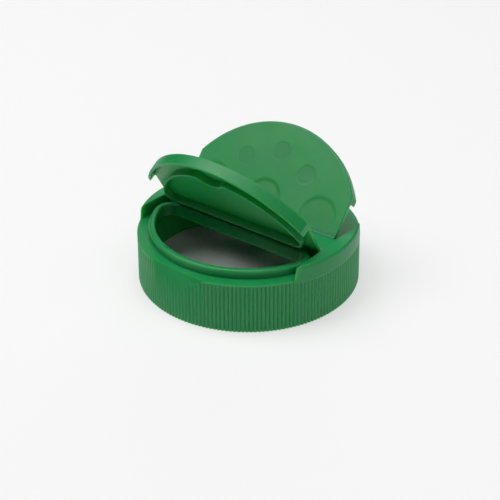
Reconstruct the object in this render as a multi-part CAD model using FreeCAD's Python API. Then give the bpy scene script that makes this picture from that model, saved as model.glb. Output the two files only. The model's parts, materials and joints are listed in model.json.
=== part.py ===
import FreeCAD, Part
import math
import os

# Dual-flap shaker cap for a wide spice jar, moulded in one piece.
# Frame: origin at the centre of the bottom rim, +Z up, X along both hinges,
# the pour flap on the -Y side and the shaker flap on the +Y side.
# All sizes are in millimetres. The flaps are drawn closed and then turned open.

V = FreeCAD.Vector
UP = V(0, 0, 1)
ACROSS = V(1, 0, 0)

# Skirt, its bore for the jar's neck and its grip ribs
bore_radius = 31.3
bore_corner_radius = 1.2
skirt_wall = 1.9
skirt_draft = 0.45
rib_count = 184
rib_depth = 0.34
rib_crest_share = 0.3
rib_top_gap = 0.3
rib_top_step = 0.05

# Ledge that carries both flaps, and the raised ends beside them
ledge_height = 14.75
ledge_edge_bevel = 0.2
deck_thickness = 1.3
end_height = 18.6
end_draft = 0.25
end_shoulder_radius = 0.8
end_width = 4.16
end_outer_wall = 1.6
end_inner_wall = 1.2

# Bridge between the two hinges
bridge_drop = 0.3
bridge_wall = 1.15
pour_hinge_y = -4.0
shaker_hinge_y = 4.2
hinge_drop = 0.6
hinge_nose_radius = 0.3
hinge_clearance = 0.05
hinge_bevel_angle = 35.0

# Thumb notches in the skirt under the free edges of the flaps
notch_half_width = 9.1
notch_ledge_depth = 1.6
notch_height = 3.85

# Flaps
flap_top_drop = 0.1
panel_thickness = 1.0
panel_side_gap = 0.74
flap_edge_radius = 0.6
flap_skirt_wall = 1.1
flap_skirt_gap = 0.15
flap_skirt_draft = 0.2
hinge_slope_length = 0.9
pour_open_angle = 60.0
shaker_open_angle = 50.0

# Pour opening with its raised collar
collar_room = 2.05
collar_wall = 2.1
collar_height = 2.45
collar_setback = 2.3
collar_corner_radius = 3.2
collar_outer_round = 0.95
collar_inner_round = 0.7

# Plug ring under the pour flap
plug_clearance = 0.25
plug_wall = 0.8
plug_length = 2.3
dent_depth = 2.6
dent_half_width = 4.8
dent_corner_radius = 1.9

# Shaker holes, and the plugs under the shaker flap
hole_radius = 3.2
hole_middle_inset = 7.8
hole_side_inset = 9.4
hole_side_angle = 30.0
hole_rim_width = 0.9
hole_rim_height = 0.5
pin_clearance = 0.28
pin_wall = 0.8
pin_reach = 0.7

# Round marks on top of the shaker flap
mark_radius = 2.9
mark_depth = 0.3
scallop_radius = 6.0
scallop_depth = 0.4
scallop_hinge_gap = 4.1
scallop_side_inset = 8.0

# Sizes that follow from the ones above
rim_radius = bore_radius + skirt_wall
rib_top = ledge_height - rib_top_gap
ledge_radius = rim_radius - skirt_draft
deck_underside = ledge_height - deck_thickness
end_radius = ledge_radius - end_draft
end_wall_x = end_radius - end_width
bridge_top = end_height - bridge_drop
hinge_z = bridge_top - hinge_drop
flap_top = end_height - flap_top_drop
panel_underside = flap_top - panel_thickness
panel_half_width = end_wall_x - panel_side_gap
flap_inner_radius = end_radius - flap_skirt_wall
flap_skirt_bottom = ledge_height + flap_skirt_gap
collar_top = ledge_height + collar_height
collar_inner_radius = flap_inner_radius - collar_room - collar_wall
collar_flat_y = pour_hinge_y - collar_setback
plug_radius = collar_inner_radius - plug_clearance
pin_radius = hole_radius - pin_clearance
hole_turn = math.radians(hole_side_angle)
hole_side_radius = flap_inner_radius - hole_side_inset
hole_side_x = hole_side_radius * math.sin(hole_turn)
hole_side_y = hole_side_radius * math.cos(hole_turn)
hole_middle_y = flap_inner_radius - hole_middle_inset
hole_centres = [(-hole_side_x, hole_side_y), (0, hole_middle_y), (hole_side_x, hole_side_y)]
scallop_y = shaker_hinge_y + scallop_hinge_gap
scallop_side_x = panel_half_width - scallop_side_inset
scallop_centres = [(-scallop_side_x, scallop_y), (0, scallop_y), (scallop_side_x, scallop_y)]

# How finely the small roundings of turned outlines are stepped,
# and how far a cutting shape reaches past the face that it cuts
round_steps = 2
past = 1.0


def rounding(centre_radius, centre_height, radius, first=0.0):
    """Points of a quarter round on an outline, from one angle in degrees to the next quarter."""
    points = []
    for step in range(round_steps + 1):
        angle = math.radians(first + 90.0 * step / round_steps)
        points.append((centre_radius + radius * math.cos(angle), centre_height + radius * math.sin(angle)))
    return points


def flat_face(corners):
    """Flat face on a closed run of corners."""
    return Part.Face(Part.makePolygon(corners + corners[:1]))


def revolved(points):
    """Solid of revolution about Z from (radius, height) points."""
    face = flat_face([V(radius, 0, height) for radius, height in points])
    return face.revolve(V(0, 0, 0), UP, 360)


def extruded_across(points, half_length):
    """Bar along X from (y, z) points, as long to each side of the middle."""
    face = flat_face([V(-half_length, y, z) for y, z in points])
    return face.extrude(ACROSS * (2 * half_length))


def disc(radius, low, high, centre=(0.0, 0.0)):
    """Upright round solid between two heights."""
    return Part.makeCylinder(radius, high - low, V(centre[0], centre[1], low), UP)


def block(low, high):
    """Box between two opposite corners."""
    return Part.makeBox(high[0] - low[0], high[1] - low[1], high[2] - low[2], V(*low))


def ribbed_corners(share, height):
    """Corners of an outline with one flat-topped rib per pitch, scaled from the rim."""
    pitch = 2 * math.pi / rib_count
    crest = pitch * rib_crest_share / 2
    places = [(-crest, rim_radius), (crest, rim_radius), (pitch / 2, rim_radius - rib_depth)]
    corners = []
    for number in range(rib_count):
        for offset, radius in places:
            angle = number * pitch + offset
            corners.append(V(share * radius * math.cos(angle), share * radius * math.sin(angle), height))
    return corners


def ribbed_skirt():
    """Drafted skirt with its grip ribs, still solid inside."""
    low = ribbed_corners(1.0, 0)
    high = ribbed_corners((ledge_radius - rib_top_step) / rim_radius, rib_top)
    faces = [flat_face(low), flat_face(high)]
    for number in range(len(low)):
        after = (number + 1) % len(low)
        faces.append(flat_face([low[number], low[after], high[after], high[number]]))
    return Part.Solid(Part.Shell(faces))


def upper_body():
    """Smooth band above the ribs, cut down to the ledge between the raised ends."""
    outline = [(0, rib_top), (ledge_radius, rib_top), (ledge_radius, ledge_height)]
    outline += rounding(end_radius - end_shoulder_radius, end_height - end_shoulder_radius,
                        end_shoulder_radius)
    outline.append((0, end_height))
    body = revolved(outline)
    reach = rim_radius + past
    middle = block((-end_wall_x, -reach, ledge_height), (end_wall_x, reach, end_height + past))
    return body.cut(middle)


def ledge_bevel():
    """Ring that bevels the outer edge of the ledge between the raised ends."""
    outside = ledge_radius + past
    ring = revolved([(ledge_radius - ledge_edge_bevel, ledge_height),
                     (ledge_radius, ledge_height - ledge_edge_bevel),
                     (outside, ledge_height - ledge_edge_bevel),
                     (outside, ledge_height)])
    return ring.common(block((-end_wall_x, -outside, 0), (end_wall_x, outside, end_height)))


def bore():
    """Room for the jar's neck, with a rounded corner under the deck."""
    outline = [(0, -past), (bore_radius, -past)]
    outline += rounding(bore_radius - bore_corner_radius, deck_underside - bore_corner_radius,
                        bore_corner_radius)
    outline.append((0, deck_underside))
    return revolved(outline)


def end_pocket(side):
    """Hollow under one raised end, between its walls."""
    top = end_height - deck_thickness
    low = deck_underside - past
    low_x, high_x = sorted((side * (end_wall_x + end_inner_wall), side * rim_radius))
    half = block((low_x, -rim_radius, low), (high_x, rim_radius, top))
    return half.common(disc(end_radius - end_outer_wall, low, top))


def notch(side):
    """Sloping flat cut in the skirt where a thumb gets under a flap."""
    top_y = ledge_radius - notch_ledge_depth
    low_y = rim_radius - skirt_draft * (ledge_height - notch_height) / ledge_height
    slope = (low_y - top_y) / notch_height
    above = ledge_height + past
    below = ledge_height - notch_height - past
    outside = rim_radius + 2 * past
    points = [(top_y - slope * past, above), (low_y + slope * past, below),
              (outside, below), (outside, above)]
    return extruded_across([(side * y, z) for y, z in points], notch_half_width)


def d_corner():
    """Centre of the right-hand corner of the D, and the angle below X at which it meets the arc."""
    centre_y = collar_flat_y - collar_corner_radius
    centre_x = math.sqrt((collar_inner_radius - collar_corner_radius) ** 2 - centre_y ** 2)
    return centre_x, centre_y, math.atan2(-centre_y, centre_x)


def d_outline(grow, height):
    """D-shaped outline on the -Y side, grown outwards from the collar's inner face."""
    radius = collar_inner_radius + grow
    corner = collar_corner_radius + grow
    centre_x, centre_y, lean = d_corner()
    halfway = math.pi / 4 - lean / 2
    flat = centre_y + corner
    left, right = V(-centre_x, flat, height), V(centre_x, flat, height)
    edges = [Part.makeLine(left, right)]
    joins = []
    for side, start in ((-1, left), (1, right)):
        bend_x = centre_x + corner * math.cos(halfway)
        bend = V(side * bend_x, centre_y + corner * math.sin(halfway), height)
        end = V(side * radius * math.cos(lean), -radius * math.sin(lean), height)
        edges.append(Part.Arc(start, bend, end).toShape())
        joins.append(end)
    edges.append(Part.Arc(joins[0], V(0, -radius, height), joins[1]).toShape())
    return Part.Wire(Part.__sortEdges__(edges))


def d_solid(grow, low, high):
    """Upright solid on the D outline."""
    return Part.Face(d_outline(grow, low)).extrude(UP * (high - low))


def collar_section(inner_radius):
    """Section of the collar with its top rounded on both sides, upright over the X axis."""
    outer_radius = inner_radius + collar_wall
    outline = [(inner_radius, deck_underside), (outer_radius, deck_underside)]
    outline += rounding(outer_radius - collar_outer_round, collar_top - collar_outer_round,
                        collar_outer_round)
    outline += rounding(inner_radius + collar_inner_round, collar_top - collar_inner_round,
                        collar_inner_round, 90.0)
    return flat_face([V(radius, 0, height) for radius, height in outline])


def collar_bend(centre, inner_radius, first, last):
    """Part of the collar that bends round an upright line, between two angles in degrees."""
    section = collar_section(inner_radius)
    section.translate(V(centre[0], centre[1], 0))
    section.rotate(V(centre[0], centre[1], 0), UP, first)
    return section.revolve(V(centre[0], centre[1], 0), UP, last - first)


def collar():
    """Rim round the pour opening: arc, two corners and a straight side."""
    centre_x, centre_y, lean = d_corner()
    lean = math.degrees(lean)
    arc = collar_bend((0, 0), collar_inner_radius, lean - 180, -lean)
    right = collar_bend((centre_x, centre_y), collar_corner_radius, -lean, 90)
    left = collar_bend((-centre_x, centre_y), collar_corner_radius, 90, 180 + lean)
    section = collar_section(collar_corner_radius)
    section.rotate(V(0, 0, 0), UP, 90)
    section.translate(V(-centre_x, centre_y, 0))
    return arc.fuse([right, left, section.extrude(ACROSS * (2 * centre_x))])


def collar_foot():
    """Filling between the straight side of the collar and the bridge."""
    centre_x = d_corner()[0]
    low = (-centre_x, collar_flat_y + collar_wall / 2, deck_underside)
    return block(low, (centre_x, pour_hinge_y / 2, collar_top - collar_outer_round))


def bridge():
    """Raised bar between the hinges, bevelled so that the flaps can fold back."""
    slope = math.tan(math.radians(hinge_bevel_angle))
    bevel = hinge_drop / slope
    points = [(pour_hinge_y, deck_underside), (shaker_hinge_y, deck_underside),
              (shaker_hinge_y, hinge_z), (shaker_hinge_y - bevel, bridge_top),
              (pour_hinge_y + bevel, bridge_top), (pour_hinge_y, hinge_z)]
    return extruded_across(points, end_wall_x)


def bridge_pocket():
    """Hollow under the bridge, open to the inside of the cap."""
    low_y = pour_hinge_y + bridge_wall + hinge_nose_radius
    high_y = shaker_hinge_y - bridge_wall - hinge_nose_radius
    half = end_wall_x - end_inner_wall
    return block((-half, low_y, deck_underside - past), (half, high_y, bridge_top - bridge_wall))


def hinge_groove(hinge_y):
    """Round seat for a flap's hinge nose."""
    length = 2 * end_wall_x
    radius = hinge_nose_radius + hinge_clearance
    return Part.makeCylinder(radius, length, V(-end_wall_x, hinge_y, hinge_z), ACROSS)


def cap_base():
    """Skirt, deck, raised ends, bridge and collar as one moulding."""
    added = [upper_body(), collar(), collar_foot(), bridge()]
    removed = [ledge_bevel(), bore(), bridge_pocket()]
    removed.append(d_solid(0, deck_underside - past, end_height + past))
    for side in (-1, 1):
        removed += [notch(side), end_pocket(side)]
    rim_top = ledge_height + hole_rim_height
    for centre in hole_centres:
        added.append(disc(hole_radius + hole_rim_width, deck_underside, rim_top, centre))
        removed.append(disc(hole_radius, deck_underside - past, end_height, centre))
    for hinge_y in (pour_hinge_y, shaker_hinge_y):
        removed.append(hinge_groove(hinge_y))
    body = ribbed_skirt().fuse(added).cut(removed)
    return body.removeSplitter()


def flap_shell(hinge_y):
    """Closed flap: flat panel, skirt along its arc and the nose of its hinge."""
    side = 1 if hinge_y > 0 else -1
    outline = [(0, flap_skirt_bottom), (end_radius - flap_skirt_draft, flap_skirt_bottom)]
    outline += rounding(end_radius - flap_edge_radius, flap_top - flap_edge_radius, flap_edge_radius)
    outline.append((0, flap_top))
    body = revolved(outline)
    body = body.cut(disc(flap_inner_radius, flap_skirt_bottom - past, panel_underside))
    start_y, end_y = sorted((hinge_y, side * rim_radius))
    body = body.common(block((-panel_half_width, start_y, 0), (panel_half_width, end_y, end_height)))
    slope = extruded_across([(hinge_y, hinge_z),
                             (hinge_y + side * hinge_slope_length, flap_top),
                             (hinge_y + side * hinge_slope_length, flap_top + past),
                             (hinge_y - side * past, flap_top + past),
                             (hinge_y - side * past, hinge_z)], end_wall_x)
    nose = Part.makeCylinder(hinge_nose_radius, 2 * panel_half_width,
                             V(-panel_half_width, hinge_y, hinge_z), ACROSS)
    return body.cut(slope).fuse(nose)


def plug_profile(shrink, low, high):
    """Solid D that fits the pour opening, dented at the middle of its arc."""
    dent_radius = (dent_half_width ** 2 + dent_depth ** 2) / (2 * dent_depth)
    dent_y = -(plug_radius - dent_depth + dent_radius)
    body = d_solid(-plug_clearance - shrink, low, high)
    dent = disc(dent_radius + shrink, low - past, high + past, (0, dent_y))
    body = body.cut(dent)
    corners = []
    for edge in body.Edges:
        start, end = edge.Vertexes[0].Point, edge.Vertexes[-1].Point
        upright = math.hypot(start.x - end.x, start.y - end.y) < 1e-6
        reach = math.hypot(start.x, start.y - dent_y)
        if upright and abs(reach - dent_radius - shrink) < 1e-4:
            corners.append(edge)
    return body.makeFillet(dent_corner_radius + (plug_wall - shrink), corners)


def plug_ring():
    """Thin wall that fits inside the collar when the pour flap is shut."""
    low = panel_underside - plug_length
    outer = plug_profile(0, low, panel_underside + panel_thickness / 2)
    inner = plug_profile(plug_wall, low - past, panel_underside)
    return outer.cut(inner)


def opened(solid, hinge_y, angle):
    """Turn a closed flap about its hinge to the angle at which it stands open."""
    turned = solid.copy()
    side = 1 if hinge_y > 0 else -1
    turned.rotate(V(0, hinge_y, hinge_z), ACROSS, side * angle)
    return turned


def pour_flap():
    """Half-round lid of the pour opening."""
    body = flap_shell(pour_hinge_y).fuse(plug_ring())
    return opened(body.removeSplitter(), pour_hinge_y, pour_open_angle)


def scallop(centre):
    """Shallow round mark that is deepest at the far side and fades to the hinge."""
    tilt = math.degrees(math.asin(scallop_depth / (2 * scallop_radius)))
    bottom = V(centre[0], centre[1], flap_top - scallop_depth / 2)
    tool = Part.makeCylinder(scallop_radius, panel_thickness + past, bottom, UP)
    tool.rotate(bottom, ACROSS, -tilt)
    return tool


def shaker_flap():
    """Half-round lid of the shaker holes, with a tubular plug for each."""
    pin_low = ledge_height - pin_reach
    added = []
    removed = []
    for centre in hole_centres:
        added.append(disc(pin_radius, pin_low, panel_underside + panel_thickness / 2, centre))
        removed.append(disc(pin_radius - pin_wall, pin_low - past, panel_underside, centre))
        removed.append(disc(mark_radius, flap_top - mark_depth, flap_top + past, centre))
    for centre in scallop_centres:
        removed.append(scallop(centre))
    body = flap_shell(shaker_hinge_y).fuse(added).cut(removed)
    return opened(body.removeSplitter(), shaker_hinge_y, shaker_open_angle)


def single_solid(shape):
    """The one solid that a moulding consists of."""
    solids = shape.Solids
    if len(solids) != 1:
        raise ValueError("expected one solid, found %d" % len(solids))
    return solids[0]


os.makedirs("parts", exist_ok=True)
mouldings = {"cap_base": cap_base, "pour_flap": pour_flap, "shaker_flap": shaker_flap}
for name, build in mouldings.items():
    solid = single_solid(build())
    solid.exportStep("parts/" + name + ".step")
    box = solid.BoundBox
    print("%s valid %s volume %.1f mm3, x %.2f..%.2f y %.2f..%.2f z %.2f..%.2f" % (
        name, solid.isValid(), solid.Volume, box.XMin, box.XMax, box.YMin, box.YMax, box.ZMin, box.ZMax))
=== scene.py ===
"""Dual-flap shaker cap of a wide spice jar: one green polypropylene moulding with two living hinges."""
import json
import logging
import math
from dataclasses import dataclass
from enum import Enum
from typing import Sequence

import bmesh
import bpy
from mathutils import Matrix, Vector

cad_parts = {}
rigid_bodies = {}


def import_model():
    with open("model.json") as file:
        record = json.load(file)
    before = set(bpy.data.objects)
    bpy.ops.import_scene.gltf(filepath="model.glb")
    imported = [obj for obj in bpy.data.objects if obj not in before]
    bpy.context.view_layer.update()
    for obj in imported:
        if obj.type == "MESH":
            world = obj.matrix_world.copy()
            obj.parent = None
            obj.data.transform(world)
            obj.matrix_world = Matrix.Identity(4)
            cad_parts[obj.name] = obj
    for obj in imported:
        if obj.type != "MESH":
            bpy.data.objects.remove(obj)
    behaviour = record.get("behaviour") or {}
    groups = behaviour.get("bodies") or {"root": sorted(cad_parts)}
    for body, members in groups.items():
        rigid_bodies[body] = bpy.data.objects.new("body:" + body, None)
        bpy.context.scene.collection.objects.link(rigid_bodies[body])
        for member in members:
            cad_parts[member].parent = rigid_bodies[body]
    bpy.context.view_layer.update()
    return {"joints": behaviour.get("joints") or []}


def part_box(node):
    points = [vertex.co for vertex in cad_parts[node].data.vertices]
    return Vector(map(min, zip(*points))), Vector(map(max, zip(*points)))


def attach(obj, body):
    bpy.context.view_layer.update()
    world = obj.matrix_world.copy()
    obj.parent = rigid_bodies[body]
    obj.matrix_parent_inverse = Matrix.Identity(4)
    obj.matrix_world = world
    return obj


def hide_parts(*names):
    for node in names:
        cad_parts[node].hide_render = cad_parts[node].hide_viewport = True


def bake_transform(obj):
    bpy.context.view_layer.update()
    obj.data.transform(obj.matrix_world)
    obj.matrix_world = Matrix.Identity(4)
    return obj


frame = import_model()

LOG = logging.getLogger("shaker_cap")

Outline = list[tuple[float, float]]

MM = 0.001
TINY = 1e-6
ACROSS = Vector((1.0, 0.0, 0.0))
# Name of the attribute that holds how deep a corner lies in a recess, which the finish darkens as painted shade
RECESS_SHADE = "recess_shade"


class Join(Enum):
    """How one solid acts on another."""

    ADD = "UNION"
    CUT = "DIFFERENCE"
    KEEP = "INTERSECT"


class Along(Enum):
    """Direction that a bar runs in."""

    X = 0
    Y = 1


class Side(Enum):
    """Which side of the bridge a flap is on."""

    POUR = -1
    SHAKER = 1


def make_object(name: str, points: Sequence[Vector], faces: Sequence[Sequence[int]]) -> bpy.types.Object:
    """Make a mesh object from points in millimetres.

    Args:
        name: Name of the object and of its mesh.
        points: Corners in millimetres.
        faces: Corner numbers of each face.

    Returns:
        The new object, linked to the scene, with its faces outward.
    """
    mesh = bpy.data.meshes.new(name)
    mesh.from_pydata([Vector(point) * MM for point in points], [], faces)
    shell = bmesh.new()
    shell.from_mesh(mesh)
    bmesh.ops.remove_doubles(shell, verts=shell.verts, dist=TINY * MM)
    bmesh.ops.recalc_face_normals(shell, faces=shell.faces)
    shell.to_mesh(mesh)
    shell.free()
    piece = bpy.data.objects.new(name, mesh)
    bpy.context.scene.collection.objects.link(piece)
    return piece


def discard(piece: bpy.types.Object) -> None:
    """Remove a helper object with its mesh."""
    mesh = piece.data
    bpy.data.objects.remove(piece)
    bpy.data.meshes.remove(mesh)


def baked(piece: bpy.types.Object) -> bpy.types.Object:
    """Turn an object's modifiers into plain mesh.

    Args:
        piece: Object with modifiers.

    Returns:
        The same object, with the result as its mesh and no modifiers.
    """
    bpy.context.view_layer.update()
    graph = bpy.context.evaluated_depsgraph_get()
    mesh = bpy.data.meshes.new_from_object(piece.evaluated_get(graph))
    old = piece.data
    piece.modifiers.clear()
    piece.data = mesh
    bpy.data.meshes.remove(old)
    mesh.name = piece.name
    return piece


def combine(body: bpy.types.Object, tools: Sequence[bpy.types.Object], join: Join) -> bpy.types.Object:
    """Join solids to a body, or cut them from it.

    Args:
        body: The solid that is changed.
        tools: Closed solids, which are used up.
        join: What the tools do to the body.

    Returns:
        The changed body.
    """
    for tool in tools:
        step = body.modifiers.new(tool.name, "BOOLEAN")
        step.operation = join.value
        step.solver = "MANIFOLD"
        step.object = tool
    baked(body)
    for tool in tools:
        discard(tool)
    return body


def arc(centre: tuple[float, float], radius: float, first: float, last: float, steps: int) -> Outline:
    """Points along an arc.

    Args:
        centre: Centre of the arc.
        radius: Its radius.
        first: Angle of the first point, in degrees.
        last: Angle of the last point, in degrees.
        steps: Number of equal parts.

    Returns:
        The points, both ends included.
    """
    points = []
    for step in range(steps + 1):
        angle = math.radians(first + (last - first) * step / steps)
        points.append((centre[0] + radius * math.cos(angle), centre[1] + radius * math.sin(angle)))
    return points


def soft_step(start: float, width: float, low: float, high: float, steps: int = 8) -> Outline:
    """Points along a smooth rise from one height to another.

    Args:
        start: Radius at which the rise starts.
        width: Width of the rise.
        low: Height at its start.
        high: Height at its end.
        steps: Number of equal parts.

    Returns:
        The points of radius and height.
    """
    points = []
    for step in range(steps + 1):
        share = step / steps
        points.append((start + width * share, low + (high - low) * share * share * (3 - 2 * share)))
    return points


def turned(name: str, outline: Outline, columns: int, centre: tuple[float, float] = (0.0, 0.0)) -> bpy.types.Object:
    """Solid of revolution about an upright line.

    Args:
        name: Name of the object.
        outline: Points of radius and height; where the first or last has a radius, it gets a flat end.
        columns: Number of points round the line.
        centre: Where the line stands.

    Returns:
        The solid.
    """
    points = []
    for radius, height in outline:
        for column in range(columns):
            angle = 2 * math.pi * column / columns
            points.append(Vector((centre[0] + radius * math.cos(angle),
                                  centre[1] + radius * math.sin(angle), height)))
    faces = [list(range(columns)), list(range(len(points) - columns, len(points)))]
    for row in range(len(outline) - 1):
        for column in range(columns):
            after = (column + 1) % columns
            low = row * columns
            faces.append([low + column, low + after, low + columns + after, low + columns + column])
    return make_object(name, points, faces)


def stacked(name: str, layers: Sequence[tuple[Outline, float]]) -> bpy.types.Object:
    """Solid through flat outlines of equal length, one above the other.

    Args:
        name: Name of the object.
        layers: Outline and height of each layer, from one end to the other.

    Returns:
        The solid.
    """
    count = len(layers[0][0])
    points = [Vector((x, y, height)) for outline, height in layers for x, y in outline]
    faces = [list(range(count)), list(range(len(points) - count, len(points)))]
    for row in range(len(layers) - 1):
        for corner in range(count):
            after = (corner + 1) % count
            low = row * count
            faces.append([low + corner, low + after, low + count + after, low + count + corner])
    return make_object(name, points, faces)


def bar(name: str, section: Outline, low: float, high: float, along: Along = Along.X) -> bpy.types.Object:
    """Solid bar with the same section all along.

    Args:
        name: Name of the object.
        section: Closed run of points, of y and z for a bar along X, of x and z for one along Y.
        low: One end of the bar.
        high: The other end.
        along: Direction that the bar runs in.

    Returns:
        The bar.
    """
    count = len(section)
    if along is Along.X:
        points = [Vector((end, side, z)) for end in (low, high) for side, z in section]
    else:
        points = [Vector((side, end, z)) for end in (low, high) for side, z in section]
    faces = [list(range(count)), list(range(count, 2 * count))]
    for corner in range(count):
        after = (corner + 1) % count
        faces.append([corner, after, count + after, count + corner])
    return make_object(name, points, faces)


def rounded_corner(before: tuple[float, float], corner: tuple[float, float], after: tuple[float, float],
                   radius: float, steps: int = 4) -> Outline:
    """Points of the arc that rounds one corner of an outline.

    Args:
        before: A point on the straight run to the corner.
        corner: The sharp corner.
        after: A point on the straight run from the corner.
        radius: Radius of the arc.
        steps: Number of equal parts.

    Returns:
        The points from one tangent point to the other.
    """
    tip = Vector(corner)
    back = (Vector(before) - tip).normalized()
    ahead = (Vector(after) - tip).normalized()
    half = back.angle(ahead) / 2
    middle = tip + (back + ahead).normalized() * (radius / math.sin(half))
    start = tip + back * (radius / math.tan(half)) - middle
    end = tip + ahead * (radius / math.tan(half)) - middle
    first = math.degrees(math.atan2(start.y, start.x))
    sweep = (math.degrees(math.atan2(end.y, end.x)) - first + 180) % 360 - 180
    return arc((middle.x, middle.y), radius, first, first + sweep, steps)


def shaded(piece: bpy.types.Object) -> bpy.types.Object:
    """Smooth the round faces of a solid and keep its flat faces flat.

    Args:
        piece: The solid.

    Returns:
        The same object, with weighted normals.
    """
    mesh = piece.data
    mesh.shade_smooth()
    mesh.set_sharp_from_angle(angle=math.radians(38.0))
    even = piece.modifiers.new("even_normals", "WEIGHTED_NORMAL")
    even.keep_sharp = True
    return baked(piece)


def finished(piece: bpy.types.Object, finish: bpy.types.Material) -> None:
    """Give a whole piece one finish."""
    piece.data.materials.clear()
    piece.data.materials.append(finish)


@dataclass(frozen=True)
class Joint:
    """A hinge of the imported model, in millimetres."""

    name: str
    parent: str
    child: str
    y: float
    z: float

    @classmethod
    def of(cls, child: str) -> "Joint":
        """Find the hinge that carries a body.

        Args:
            child: Name of the body.

        Returns:
            The hinge with its place.
        """
        for joint in frame["joints"]:
            if joint["child"] == child:
                place = joint["pos_m"]
                return cls(joint["name"], joint["parent"], child, place[1] / MM, place[2] / MM)
        raise ValueError("no hinge carries " + child)


@dataclass(frozen=True)
class Envelope:
    """Sizes in millimetres that the mouldings share."""

    rim_radius: float = round(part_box("cap_base")[1][0] / MM, 3)
    end_height: float = round(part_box("cap_base")[1][2] / MM, 3)
    skirt_draft: float = 0.45
    ledge_height: float = 14.75
    deck_thickness: float = 1.3
    end_draft: float = 0.25
    end_width: float = 4.16
    flap_top_drop: float = 0.1
    panel_thickness: float = 1.0
    panel_side_gap: float = 0.74
    flap_skirt_wall: float = 1.1
    collar_room: float = 2.05
    collar_wall: float = 2.1
    collar_height: float = 2.45
    collar_setback: float = 2.3
    collar_corner_radius: float = 3.2
    hinge_nose_radius: float = 0.3
    hinge_clearance: float = 0.05
    hole_radius: float = 3.2
    hole_middle_inset: float = 7.8
    hole_side_inset: float = 9.4
    hole_side_angle: float = 30.0

    @property
    def ledge_radius(self) -> float:
        """Outer radius of the ledge that carries the flaps."""
        return self.rim_radius - self.skirt_draft

    @property
    def end_radius(self) -> float:
        """Outer radius of the raised ends and the flaps."""
        return self.ledge_radius - self.end_draft

    @property
    def end_wall_x(self) -> float:
        """Distance of the raised ends' inner walls from the middle."""
        return self.end_radius - self.end_width

    @property
    def deck_underside(self) -> float:
        """Height of the deck's lower face."""
        return self.ledge_height - self.deck_thickness

    @property
    def flap_top(self) -> float:
        """Height of a closed flap's upper face."""
        return self.end_height - self.flap_top_drop

    @property
    def panel_underside(self) -> float:
        """Height of a closed flap's lower face."""
        return self.flap_top - self.panel_thickness

    @property
    def panel_half_width(self) -> float:
        """Half the width of a flap."""
        return self.end_wall_x - self.panel_side_gap

    @property
    def flap_inner_radius(self) -> float:
        """Radius inside a flap's skirt."""
        return self.end_radius - self.flap_skirt_wall

    @property
    def collar_top(self) -> float:
        """Height of the collar's rounded top."""
        return self.ledge_height + self.collar_height

    @property
    def collar_inner_radius(self) -> float:
        """Radius of the pour opening's arc."""
        return self.flap_inner_radius - self.collar_room - self.collar_wall

    @property
    def hole_centres(self) -> Outline:
        """Centres of the three shaker holes."""
        side = self.flap_inner_radius - self.hole_side_inset
        turn = math.radians(self.hole_side_angle)
        x, y = side * math.sin(turn), side * math.cos(turn)
        return [(-x, y), (0.0, self.flap_inner_radius - self.hole_middle_inset), (x, y)]


@dataclass(frozen=True)
class HalfMoon:
    """D-shaped outline of the pour opening, which can be grown and dented."""

    sizes: Envelope
    flat_y: float
    arc_steps: int = 96
    corner_steps: int = 14

    def corner(self) -> tuple[float, float, float]:
        """Centre of the right-hand corner and the angle below X, in degrees, at which it meets the arc."""
        radius = self.sizes.collar_corner_radius
        y = self.flat_y - radius
        x = math.sqrt((self.sizes.collar_inner_radius - radius) ** 2 - y ** 2)
        return x, y, math.degrees(math.atan2(-y, x))

    def outline(self, grow: float) -> Outline:
        """Outline grown outwards from the opening's wall.

        Args:
            grow: Distance from the wall in millimetres.

        Returns:
            Points against the clock, the same number for every growth.
        """
        x, y, lean = self.corner()
        bend = self.sizes.collar_corner_radius + grow
        points = arc((0.0, 0.0), self.sizes.collar_inner_radius + grow, lean - 180, -lean, self.arc_steps)
        points += arc((x, y), bend, -lean, 90, self.corner_steps)[1:]
        points += arc((-x, y), bend, 90, 180 + lean, self.corner_steps)[:-1]
        return points

    def dented_outline(self, grow: float, clearance: float, depth: float, half_width: float,
                       corner: float) -> Outline:
        """Outline of the plug, which is dented at the middle of its arc.

        Args:
            grow: Distance from the plug's outer face.
            clearance: Room between the plug and the opening's wall.
            depth: Depth of the dent.
            half_width: Half its width at the outer face.
            corner: Radius of the two bends beside it, at the outer face.

        Returns:
            Points against the clock, the same number for every growth.
        """
        x, y, lean = self.corner()
        radius = self.sizes.collar_inner_radius - clearance
        dent = (half_width ** 2 + depth ** 2) / (2 * depth)
        dent_y = -(radius - depth + dent)
        gap = (radius - corner) ** 2 - (dent + corner) ** 2
        bend_y = (gap + dent_y ** 2) / (2 * dent_y)
        bend_x = math.sqrt((radius - corner) ** 2 - bend_y ** 2)
        meet = math.degrees(math.atan2(-bend_y, bend_x))
        swing = math.degrees(math.atan2(bend_y - dent_y, bend_x))
        round_corner = self.sizes.collar_corner_radius - clearance + grow
        steps = self.corner_steps
        points = arc((0.0, 0.0), radius + grow, lean - 180, meet - 180, self.arc_steps // 2)
        points += arc((-bend_x, bend_y), corner + grow, meet - 180, -swing, steps)[1:]
        points += arc((0.0, dent_y), dent - grow, 180 - swing, swing, steps)[1:]
        points += arc((bend_x, bend_y), corner + grow, 180 + swing, 360 - meet, steps)[1:]
        points += arc((0.0, 0.0), radius + grow, -meet, -lean, self.arc_steps // 2)[1:]
        points += arc((x, y), round_corner, -lean, 90, steps)[1:]
        points += arc((-x, y), round_corner, 90, 180 + lean, steps)[:-1]
        return points


def srgb(code: str) -> tuple[float, float, float, float]:
    """Turn an sRGB hex colour to linear.

    Args:
        code: Six hex digits.

    Returns:
        Linear red, green, blue and an opaque alpha.
    """
    channels = [int(code[place:place + 2], 16) / 255 for place in (0, 2, 4)]
    linear = [c / 12.92 if c <= 0.04045 else ((c + 0.055) / 1.055) ** 2.4 for c in channels]
    return (linear[0], linear[1], linear[2], 1.0)


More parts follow.
